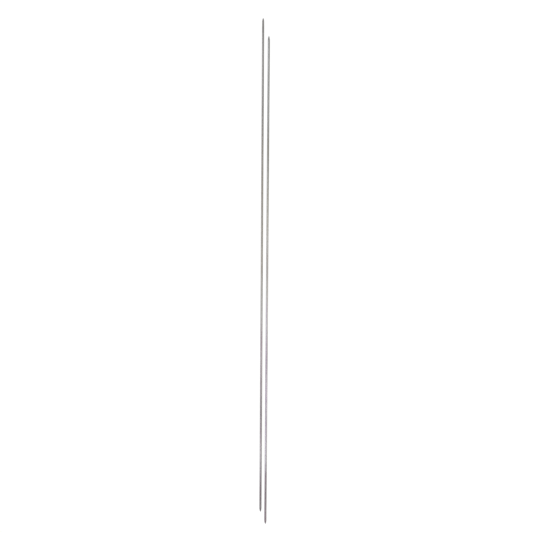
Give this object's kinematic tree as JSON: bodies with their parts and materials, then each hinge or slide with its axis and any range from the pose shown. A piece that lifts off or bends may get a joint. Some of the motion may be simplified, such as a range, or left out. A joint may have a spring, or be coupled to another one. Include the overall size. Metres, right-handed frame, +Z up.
{
  "type": "straight knitting needles",
  "caption": "Thin straight steel knitting needles, ground to a blunt point at both ends and without knobs, lying loose side by side.",
  "frame": {"origin": "on the plane the needles lie on, at the middle of the pair's footprint", "axes": "+Z up from that plane; +Y along the needles, exactly parallel to the left one; +X from the left needle to the right one"},
  "size_m": [0.0056, 0.3644, 0.0015],
  "materials": {
    "left_steel": "drawn and polished steel wire, slightly tarnished",
    "right_steel": "drawn and polished steel wire, brighter and faintly violet in the middle, browner at one end"
  },
  "bodies": {
    "needle_left": {"needle_left": "left_steel"},
    "needle_right": {"needle_right": "right_steel"}
  },
  "joints": [
    {"name": "needle_right_aside", "type": "slide", "parent": "needle_left", "child": "needle_right", "axis": [1, 0, 0], "range_m": [-0.0018, 0.12]}
  ]
}
